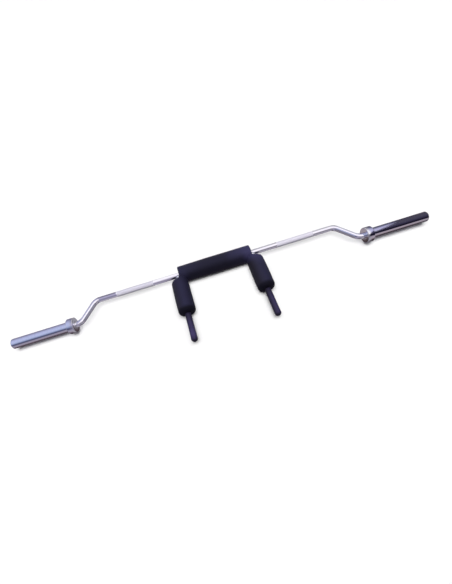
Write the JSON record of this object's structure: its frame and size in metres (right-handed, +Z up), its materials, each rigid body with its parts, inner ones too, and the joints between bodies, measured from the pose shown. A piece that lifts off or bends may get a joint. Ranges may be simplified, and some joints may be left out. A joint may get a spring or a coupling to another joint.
{
  "type": "safety squat bar",
  "caption": "Cambered barbell with a foam neck pad, two padded forward handles and free-spinning plate sleeves on bushed spindles.",
  "frame": {"origin": "on the floor, under the middle of the bar's outline seen from above", "axes": "+X along the bar, -Y the way the handles and the camber reach, +Z up"},
  "size_m": [2.13, 0.4122, 0.0815],
  "materials": {
    "bar_chrome": "polished, with two fine knurled bands",
    "collar_chrome": "polished",
    "sleeve_chrome": "fine turned",
    "bronze": "satin",
    "spring_steel": "satin",
    "foam": "matte",
    "grip_rubber": "matte"
  },
  "bodies": {
    "frame": {"main_bar": "bar_chrome", "neck_pad": "foam", "left_handle_tube": "bar_chrome", "left_shoulder_pad": "foam", "left_grip": "grip_rubber", "left_thrust_washer": "spring_steel", "left_end_washer": "spring_steel", "left_snap_ring": "spring_steel", "right_handle_tube": "bar_chrome", "right_shoulder_pad": "foam", "right_grip": "grip_rubber", "right_thrust_washer": "spring_steel", "right_end_washer": "spring_steel", "right_snap_ring": "spring_steel"},
    "left_sleeve": {"left_sleeve_tube": "sleeve_chrome", "left_collar": "collar_chrome", "left_inner_bushing": "bronze", "left_outer_bushing": "bronze", "left_end_cap": "collar_chrome"},
    "right_sleeve": {"right_sleeve_tube": "sleeve_chrome", "right_collar": "collar_chrome", "right_inner_bushing": "bronze", "right_outer_bushing": "bronze", "right_end_cap": "collar_chrome"}
  },
  "joints": [
    {"name": "left_sleeve_spin", "type": "hinge", "parent": "frame", "child": "left_sleeve", "pos_m": [-0.905, 0.06265, 0.038], "axis": [1, 0, 0], "continuous": true},
    {"name": "right_sleeve_spin", "type": "hinge", "parent": "frame", "child": "right_sleeve", "pos_m": [0.905, 0.06265, 0.038], "axis": [1, 0, 0], "continuous": true}
  ]
}
